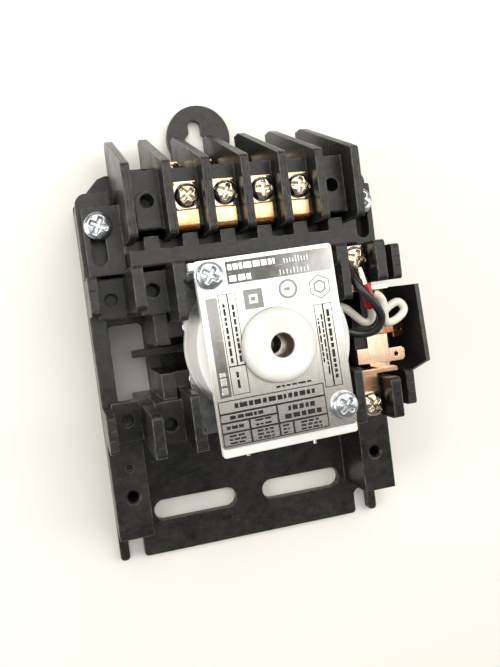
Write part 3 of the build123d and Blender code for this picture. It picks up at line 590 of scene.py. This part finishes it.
def fastener_tree():
    """Sets one fastener on every point, each turned by its own amount."""
    tree, given, out = geometry_group("fastener set", {
        "Fastener": ("Object", None), "Size": ("Float", 1.0), "Least Turn": ("Float", 0.0),
        "Most Turn": ("Float", 6.28), "Seed": ("Int", 1), "Finish": ("Material", None)})
    shape = wire_node(tree, "GeometryNodeObjectInfo", {"Object": given["Fastener"]})
    turn = wire_node(tree, "FunctionNodeRandomValue", {"Seed": given["Seed"]}, data_type="FLOAT")
    tree.links.new(given["Least Turn"], turn.inputs[2])
    tree.links.new(given["Most Turn"], turn.inputs[3])
    angles = wire_node(tree, "ShaderNodeCombineXYZ", {"Z": turn.outputs[1]})
    placed = wire_node(tree, "GeometryNodeInstanceOnPoints", {
        "Points": given["Geometry"], "Instance": shape.outputs["Geometry"],
        "Rotation": angles.outputs[0], "Scale": given["Size"]})
    return finished_tree(tree, placed.outputs[0], given, out)


def spring_tree():
    """Stands a helical spring on every point."""
    tree, given, out = geometry_group("spring set", {
        "Radius": ("Float", 0.002), "Wire": ("Float", 0.0003), "Turns": ("Float", 4.0),
        "Height": ("Float", 0.004), "Finish": ("Material", None)})
    line = wire_node(tree, "GeometryNodeCurveSpiral", {
        "Resolution": 36, "Rotations": given["Turns"], "Start Radius": given["Radius"],
        "End Radius": given["Radius"], "Height": given["Height"]})
    section = wire_node(tree, "GeometryNodeCurvePrimitiveCircle", {"Resolution": 12,
                                                                   "Radius": given["Wire"]})
    coil = wire_node(tree, "GeometryNodeCurveToMesh", {"Curve": line.outputs[0],
                                                       "Profile Curve": section.outputs[0],
                                                       "Fill Caps": True})
    round_off = wire_node(tree, "GeometryNodeSetShadeSmooth", {"Geometry": coil.outputs[0]})
    placed = wire_node(tree, "GeometryNodeInstanceOnPoints", {"Points": given["Geometry"],
                                                              "Instance": round_off.outputs[0]})
    return finished_tree(tree, placed.outputs[0], given, out)


def bead_tree():
    """Round moulding beads along every edge of a set of lines."""
    tree, given, out = geometry_group("moulding beads", {
        "Radius": ("Float", 0.00018), "Finish": ("Material", None)})
    line = wire_node(tree, "GeometryNodeMeshToCurve", {"Mesh": given["Geometry"]})
    section = wire_node(tree, "GeometryNodeCurvePrimitiveCircle", {"Resolution": 8,
                                                                   "Radius": given["Radius"]})
    bead = wire_node(tree, "GeometryNodeCurveToMesh", {"Curve": line.outputs[0],
                                                       "Profile Curve": section.outputs[0],
                                                       "Fill Caps": True})
    return finished_tree(tree, bead.outputs[0], given, out)


FASTENER_SET, SPRING_SET, BEADS = fastener_tree(), spring_tree(), bead_tree()


def grown_piece(name, tree, points, body, slot_name, nodes, edges=(), **values):
    """Runs a geometry tree on points in millimetres and keeps its plain mesh."""
    mesh = bpy.data.meshes.new(name)
    mesh.from_pydata([Vector(p) * MM for p in points], edges, [])
    seedbed = in_scene(name + "_points", mesh)
    grower = seedbed.modifiers.new("grow", "NODES")
    grower.node_group = tree
    values["Finish"] = FINISHES[slot_name]
    sockets = {item.name: item.identifier for item in tree.interface.items_tree
               if item.in_out == "INPUT"}
    for label, value in values.items():
        grower[sockets[label.replace("_", " ")]] = value
    piece = finished_object(name, applied(seedbed, name), slot_name)
    if nodes:
        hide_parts(*nodes)
    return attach(piece, body)


def node_seats(node):
    """The x and y of the middle and the z of the top of each separate solid in a node, in millimetres."""
    made = bmesh.new()
    made.from_mesh(NODES[node].data)
    bmesh.ops.remove_doubles(made, verts=made.verts, dist=1e-6)
    seen, islands = set(), []
    for start in made.verts:
        if start in seen:
            continue
        stack, island = [start], []
        seen.add(start)
        while stack:
            vert = stack.pop()
            island.append(vert.co.copy())
            for edge in vert.link_edges:
                other = edge.other_vert(vert)
                if other not in seen:
                    seen.add(other)
                    stack.append(other)
        islands.append(island)
    made.free()
    places = []
    for island in islands:
        low = [min(c[k] for c in island) for k in range(3)]
        high = [max(c[k] for c in island) for k in range(3)]
        places.append(((low[0] + high[0]) / 2 / MM, (low[1] + high[1]) / 2 / MM, high[2] / MM))
    return sorted(places)


# ---------------------------------------------------------------- fasteners, clamps and springs

def screw_set(name, node, head, shank, slot_name, turns, seed, slotted):
    """Screws whose heads end where the node's do. head and shank are a radius and a length."""
    radius, height = head
    master = in_scene(name + "_shape", screw_mesh(name + "_shape", radius, height, *shank, slotted))
    points = [(x, y, top - height) for x, y, top in node_seats(node)]
    grown_piece(name, FASTENER_SET, points, "housing", slot_name, [node], Fastener=master,
                Least_Turn=turns[0], Most_Turn=turns[1], Seed=seed)
    bpy.data.objects.remove(master)


def clamp_set(name, node, size, seed):
    """Pressure plates, each lying a little askew."""
    thickness, lift, askew = 1.1, 0.35, 0.06
    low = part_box(node)[0].z / MM
    master = in_scene(name + "_shape", saddle_mesh(name + "_shape", size, thickness, lift))
    grown_piece(name, FASTENER_SET, [(x, y, low) for x, y, _ in node_seats(node)], "housing",
                "nickel_screw", [node], Fastener=master, Least_Turn=-askew, Most_Turn=askew, Seed=seed)
    bpy.data.objects.remove(master)


for name, node, head, shank, slot_name, turns, seed, slotted in (
        ("ear_screws", "pole_block_screws", (4.75, 2.9), (1.9, 18), "zinc_screw", (0.2, 1.2), 3, False),
        ("line_screws", "line_terminal_screws", (4.0, 2.9), (1.75, 10), "nickel_screw",
         (0.0, 3.1), 8, True),
        ("load_screws", "load_terminal_screws", (3.5, 2.2), (1.6, 9), "nickel_screw",
         (0.0, 3.1), 5, True),
        ("auxiliary_screws", "auxiliary_terminal_screws", (3.9, 2.7), (1.6, 10), "nickel_screw",
         (0.2, 2.4), 2, True),
        ("cover_screws", "nameplate_screws", (4.2, 2.5), (1.5, 8), "zinc_screw", (0.3, 1.3), 6, False)):
    screw_set(name, node, head, shank, slot_name, turns, seed, slotted)
clamp_set("line_clamps", "line_clamp_washers", 8.8, 4)
clamp_set("load_clamps", "load_clamp_washers", 7.6, 7)
clamp_set("auxiliary_clamps", "auxiliary_clamp_washers", 8.0, 9)


def return_spring():
    """Stands under the armature."""
    low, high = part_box("return_spring")
    middle = (low + high) / 2 / MM
    radius, wire, turns = 8.0, 0.6, 6.5
    piece = grown_piece("plunger_return_spring", SPRING_SET, [(middle.x, middle.y, low.z / MM + wire)],
                        "housing", "spring_steel", ["return_spring"], Radius=radius * MM, Wire=wire * MM,
                        Turns=turns, Height=(high.z - low.z) - 2 * wire * MM)
    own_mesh(piece)


return_spring()


# ---------------------------------------------------------------- moulding beads

def bead_lines(lines):
    """Points and edges of separate polylines."""
    points, edges = [], []
    for line in lines:
        edges += [(len(points) + k, len(points) + k + 1) for k in range(len(line) - 1)]
        points += line
    return points, edges


def moulding_beads():
    """Paired beads down the front edge of each barrier fin of the pole block."""
    pole_pitch, fins, spread = 12.7, 7, 0.55
    fin_edge = ((37.4, 59.42), (57.6, 59.42), (59.3, 58.9), (75.6, 16.6))    # y and z down the edge
    lines = []
    for k in range(fins):
        x = (k - fins // 2) * pole_pitch
        for side in (-spread, spread):
            lines.append([(x + side, y, z) for y, z in fin_edge])
    points, edges = bead_lines(lines)
    grown_piece("fin_beads", BEADS, points, "housing", "black_moulding", [], edges=edges,
                Radius=0.16 * MM)


moulding_beads()


def outer_fin_ribs():
    """Short ribs across the front edge of the four outer tower fins."""
    inner, outer, front = 50.95, 53.45, 52.0
    mirror = -5.0    # an upper and a lower rib add up to this y
    lines = []
    for side in (-1, 1):
        for y in (14.6, 18.4, 21.6, 24.8):
            for row in (y, mirror - y):
                lines.append([(side * inner, row, front), (side * outer, row, front)])
    points, edges = bead_lines(lines)
    grown_piece("outer_fin_ribs", BEADS, points, "housing", "black_moulding", [], edges=edges,
                Radius=0.2 * MM)


outer_fin_ribs()


# ---------------------------------------------------------------- nameplate printing

LABEL_SPOT, LABEL_TURN = (0.2, -2.2), math.radians(1.7)
PLATE_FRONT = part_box("nameplate")[1].z / MM
INK_THICKNESS, INK_SUNK, BLANK_RISE = 0.03, 0.01, 0.02
FINE_RULE, MIDDLE_RULE, HEAVY_RULE = 0.2, 0.24, 0.3


def label_point(u, v, z):
    """From the label's own u and v to the part's frame."""
    x = LABEL_SPOT[0] + u * math.cos(LABEL_TURN) - v * math.sin(LABEL_TURN)
    y = LABEL_SPOT[1] + u * math.sin(LABEL_TURN) + v * math.cos(LABEL_TURN)
    return Vector((x, y, z)) * MM


def print_patch(made, corners, thickness=INK_THICKNESS):
    """A thin raised patch of ink over label corners given anticlockwise."""
    lower = [made.verts.new(label_point(u, v, PLATE_FRONT - INK_SUNK)) for u, v in corners]
    upper = [made.verts.new(label_point(u, v, PLATE_FRONT + thickness)) for u, v in corners]
    made.faces.new(upper)
    made.faces.new(lower[::-1])
    count = len(corners)
    for k in range(count):
        after = (k + 1) % count
        made.faces.new((lower[k], lower[after], upper[after], upper[k]))


def print_bar(made, u0, u1, v0, v1, clear=0.0):
    print_patch(made, [(u0, v0), (u1, v0), (u1, v1), (u0, v1)], INK_THICKNESS + clear)


def print_frame(made, u0, u1, v0, v1, line=HEAVY_RULE):
    """Outline of a box in ink."""
    print_bar(made, u0, u1, v0, v0 + line)
    print_bar(made, u0, u1, v1 - line, v1)
    print_bar(made, u0, u0 + line, v0 + line, v1 - line)
    print_bar(made, u1 - line, u1, v0 + line, v1 - line)


def print_ring(made, u, v, radius, line, sides):
    """Outline of a regular shape in ink."""
    for k in range(sides):
        turn = [2 * math.pi * (k + d + 0.5) / sides for d in (0, 1)]
        inner = [(u + (radius - line) * math.cos(a), v + (radius - line) * math.sin(a)) for a in turn]
        outer = [(u + radius * math.cos(a), v + radius * math.sin(a)) for a in turn]
        print_patch(made, [inner[0], outer[0], outer[1], inner[1]])


def print_words(made, dice, u0, u1, v0, v1, upright=False, clear=0.0):
    """A row of blank blocks where a line of words would stand."""
    start, end = (v0, v1) if upright else (u0, u1)
    here = start
    while here < end - 0.5:
        length = min(dice.uniform(0.9, 2.6), end - here)
        if upright:
            print_bar(made, u0, u1, here, here + length, clear)
        else:
            print_bar(made, here, here + length, v0, v1, clear)
        here += length + dice.uniform(0.35, 0.6)


def printed_piece(name, made, material):
    """Printing on the nameplate, in a material of its own."""
    mesh = bpy.data.meshes.new(name)
    made.to_mesh(mesh)
    made.free()
    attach(finished_object(name, mesh, "brushed_plate", material), "housing")


def nameplate_bands():
    """The two broad printed bands, and the blank blocks left clear in them."""
    made, dice = bmesh.new(), random.Random(4)
    print_bar(made, -12.6, 21.9, 20.6, 27.6)
    print_bar(made, -20.4, -16.8, -13.2, 17.2)
    printed_piece("nameplate_bands", made, INK_WITH_PAINTED_REFLECTION)
    made = bmesh.new()
    print_words(made, dice, -12.0, 3.2, 24.8, 26.7, clear=BLANK_RISE)
    print_words(made, dice, -12.0, -4.6, 21.3, 23.2, clear=BLANK_RISE)
    print_words(made, dice, -19.6, -17.7, -12.4, -5.6, True, clear=BLANK_RISE)
    for k in range(9):
        height = dice.uniform(1.2, 2.0)
        print_bar(made, 6.0 + 0.95 * k, 6.3 + 0.95 * k, 24.6, 24.6 + height, BLANK_RISE)
        print_bar(made, 4.2 + 1.15 * k, 4.5 + 1.15 * k, 21.2, 21.2 + height, BLANK_RISE)
    printed_piece("nameplate_blanks", made, FINISHES["brushed_plate"])


def nameplate_marks():
    """A square, a ring and a hexagon, which stand for no mark."""
    made, dice = bmesh.new(), random.Random(7)
    print_ring(made, -5.4, 15.2, 4.3, 2.4, 4)
    print_words(made, dice, -6.2, -4.6, 14.6, 15.9)
    print_ring(made, 6.0, 16.6, 3.1, 0.8, 32)
    print_words(made, dice, 4.7, 7.4, 16.1, 17.1)
    print_ring(made, 16.4, 15.8, 3.9, 0.5, 6)
    print_ring(made, 16.4, 15.8, 2.3, 0.7, 6)
    printed_piece("nameplate_marks", made, FADED_INK)


def nameplate_printing():
    """Blank boxes, rules and blocks in the places of a rating plate's fields."""
    made, dice = bmesh.new(), random.Random(11)
    print_frame(made, -16.4, -13.5, -4.2, 18.0, FINE_RULE)
    print_frame(made, -13.5, -10.9, -4.2, 18.0, FINE_RULE)
    print_frame(made, -16.4, -10.9, -13.0, -4.2, FINE_RULE)
    for u0 in (-15.4, -12.6):
        print_words(made, dice, u0, u0 + 0.75, -3.2, 15.0, True)
    print_words(made, dice, -14.4, -13.6, -11.0, -6.0, True)
    print_frame(made, 13.4, 16.4, -16.0, 10.4, MIDDLE_RULE)
    print_frame(made, 16.4, 19.3, -16.0, 10.4, MIDDLE_RULE)
    for u0, v0, v1 in ((14.0, -8.0, 6.0), (15.2, -12.0, 8.0), (17.3, -13.5, 8.8)):
        print_words(made, dice, u0, u0 + (0.55 if u0 < 17 else 0.95), v0, v1, True)
    print_words(made, dice, -2.5, 9.0, -13.2, -12.6)
    print_frame(made, -21.6, 12.8, -18.2, -14.2)
    print_frame(made, -21.6, -3.4, -20.9, -18.2)
    print_frame(made, -21.6, -12.6, -24.1, -20.9)
    print_frame(made, -12.6, -3.4, -24.1, -20.9)
    print_frame(made, -3.4, 12.8, -24.1, -18.2)
    for u0, u1 in ((-21.6, -12.6), (-12.6, -3.4), (-3.4, 1.2), (1.2, 12.8)):
        print_frame(made, u0, u1, -28.2, -24.1)
    print_words(made, dice, -16.5, 10.5, -16.9, -15.4)
    print_words(made, dice, -18.5, -7.0, -20.1, -19.0)
    print_words(made, dice, -20.0, -14.0, -23.0, -22.0)
    print_words(made, dice, -10.8, -5.0, -22.0, -21.4)
    print_words(made, dice, -10.8, -5.0, -23.4, -22.8)
    print_words(made, dice, 0.2, 9.0, -20.8, -19.3)
    print_words(made, dice, -1.2, 11.0, -23.2, -21.7)
    for v0 in (-25.4, -26.5, -27.6):
        print_words(made, dice, -19.6, -14.4, v0, v0 + 0.6)
        print_words(made, dice, -10.6, -5.4, v0, v0 + 0.6)
        print_words(made, dice, -2.4, -0.2, v0, v0 + 0.6)
        print_words(made, dice, 3.6, 10.4, v0, v0 + 0.6)
    printed_piece("nameplate_printing", made, INK)


nameplate_bands()
nameplate_marks()
nameplate_printing()


# ---------------------------------------------------------------- leads

def lead(name, node, route, radius, slot_name):
    """A smooth round lead along a route in millimetres, in place of its CAD solid if it has one."""
    line = bpy.data.curves.new(name, "CURVE")
    line.dimensions = "3D"
    spline = line.splines.new("NURBS")
    spline.points.add(len(route) - 1)
    for point, spot in zip(spline.points, route):
        point.co = (*[c * MM for c in spot], 1.0)
    spline.order_u = 3
    spline.use_endpoint_u = True
    spline.resolution_u = 14
    line.bevel_depth = radius * MM
    line.bevel_resolution = 6
    line.use_fill_caps = True
    mesh = applied(in_scene(name, line), name)
    for face in mesh.polygons:
        face.use_smooth = True
    piece = finished_object(name, mesh, slot_name)
    if node:
        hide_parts(node)
    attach(piece, "housing")


WIRE = 1.4    # radius of an insulated wire

lead("coil_lead_white", "white_coil_lead",
     [(22.8, 7.2, 54.4), (28.8, 7.2, 54.4), (33.6, 2.6, 54.0), (36.6, -0.2, 53.6), (39.2, 0.4, 54.2),
      (38.9, 3.6, 56.4), (37.6, 5.9, 58.4)], WIRE, "white_insulation")
lead("splice_sleeve", "red_sleeve",
     [(37.6, 5.9, 58.4), (36.0, 8.73, 60.86), (34.9, 11.6, 61.8), (34.6, 13.2, 61.9)], 2.1, "red_sleeve")
lead("crimped_barrel", None, [(34.65, 12.8, 61.9), (34.4, 15.2, 61.7), (33.9, 18.2, 60.8)], 2.0,
     "nickel_screw")
lead("coil_lead_black", "black_coil_lead",
     [(30.5, 18.4, 60.9), (30.2, 14.2, 64.2), (33.3, 9.6, 66.4), (37.6, 4.4, 64.6), (40.0, 0.9, 61.6),
      (38.4, -3.2, 58.6), (33.6, -3.8, 56.0), (28.8, -1.8, 54.4), (22.8, -1.8, 54.4)], WIRE,
     "black_insulation")
lead("jumper_lead", "white_jumper_lead",
     [(39.7, 9.8, 57.2), (41.8, 8.6, 57.4), (43.2, 5.8, 57.0), (43.2, 2.2, 56.2), (44.1, -1.4, 54.8),
      (48.5, -0.7, 53.8), (52.9, 2.3, 53.2), (50.9, 6.0, 53.0), (47.3, 4.8, 52.8), (44.9, 2.6, 52.4),
      (44.2, -0.4, 51.6), (43.4, -3.2, 50.5)], WIRE, "white_insulation")


# ---------------------------------------------------------------- finishes on the CAD pieces

for entry in frame["record"]["subparts"]:
    shown = NODES[entry["node"]]
    for material_slot in shown.material_slots:
        material_slot.link = "OBJECT"
        material_slot.material = FINISHES[entry["material_slot"]]
NODES["bore_bush"].material_slots[0].material = SHADED_BUSH


# ---------------------------------------------------------------- floor, light and camera

def floor():
    mesh = bpy.data.meshes.new("floor")
    reach = 3.0
    mesh.from_pydata([(-reach, -reach, 0), (reach, -reach, 0), (reach, reach, 0), (-reach, reach, 0)], [],
                     [(0, 1, 2, 3)])
    ground = in_scene("floor", mesh)
    material, tree, shader = new_material("pale paper floor", Roughness=0.75)
    grains = use(tree, GRAIN, Grain=600.0, Patches=6.0)
    tree.links.new(mixed(tree, grains["Tone"], colour(0.85, 0.832, 0.778), colour(0.88, 0.862, 0.81)),
                   shader.inputs["Base Color"])
    mesh.materials.append(material)


def area_light(name, spot, aim, size, power, tint):
    """A rectangular softbox. Places and sizes are in metres, its power in watts."""
    lamp = bpy.data.lights.new(name, "AREA")
    lamp.shape, lamp.size, lamp.size_y = "RECTANGLE", size[0], size[1]
    lamp.energy, lamp.color = power, tint
    holder = in_scene(name, lamp)
    holder.location = spot
    holder.rotation_euler = (Vector(aim) - Vector(spot)).to_track_quat("-Z", "Y").to_euler()


def studio():
    """Faint even light, a large softbox overhead and one on each side."""
    warm, part = (1.0, 0.985, 0.95), (0.0, 0.0, 0.03)
    world = bpy.data.worlds.new("studio air")
    world.use_nodes = True
    sky = world.node_tree.nodes["Background"]
    sky.inputs["Color"].default_value = colour(*warm)
    sky.inputs["Strength"].default_value = 0.24
    bpy.context.scene.world = world
    bpy.context.scene.view_settings.view_transform = "Standard"
    area_light("overhead softbox", spot=(0.16, 0.362, 0.62), aim=(0.16, 0.362, 0.0), size=(0.95, 0.81),
               power=7.2, tint=warm)
    area_light("right softbox", spot=(0.75, -0.05, 0.40), aim=part, size=(0.4, 0.5), power=1.3,
               tint=(1.0, 0.97, 0.93))
    area_light("left softbox", spot=(-0.72, 0.02, 0.36), aim=part, size=(0.5, 0.6), power=4.4,
               tint=(1.0, 0.98, 0.95))


def camera():
    """Looks down on the contactor from its left, rolled a little to one side."""
    spot, aim = Vector((-61.0, 12.0, 280.3)) * MM, Vector((0.67, 0.83, 35.0)) * MM
    tilt, focal_length, sensor_width = math.radians(7.52), 38.29, 36.0
    forward = (aim - spot).normalized()
    hint = Vector((math.sin(tilt), math.cos(tilt), 0))
    up = (hint - hint.dot(forward) * forward).normalized()
    right = forward.cross(up)
    lens = bpy.data.cameras.new("camera")
    lens.lens, lens.sensor_width = focal_length, sensor_width
    lens.clip_start = 0.01
    holder = in_scene("camera", lens)
    holder.matrix_world = Matrix.Translation(spot) @ Matrix((right, up, -forward)).transposed().to_4x4()
    bpy.context.scene.camera = holder


floor()
studio()
camera()
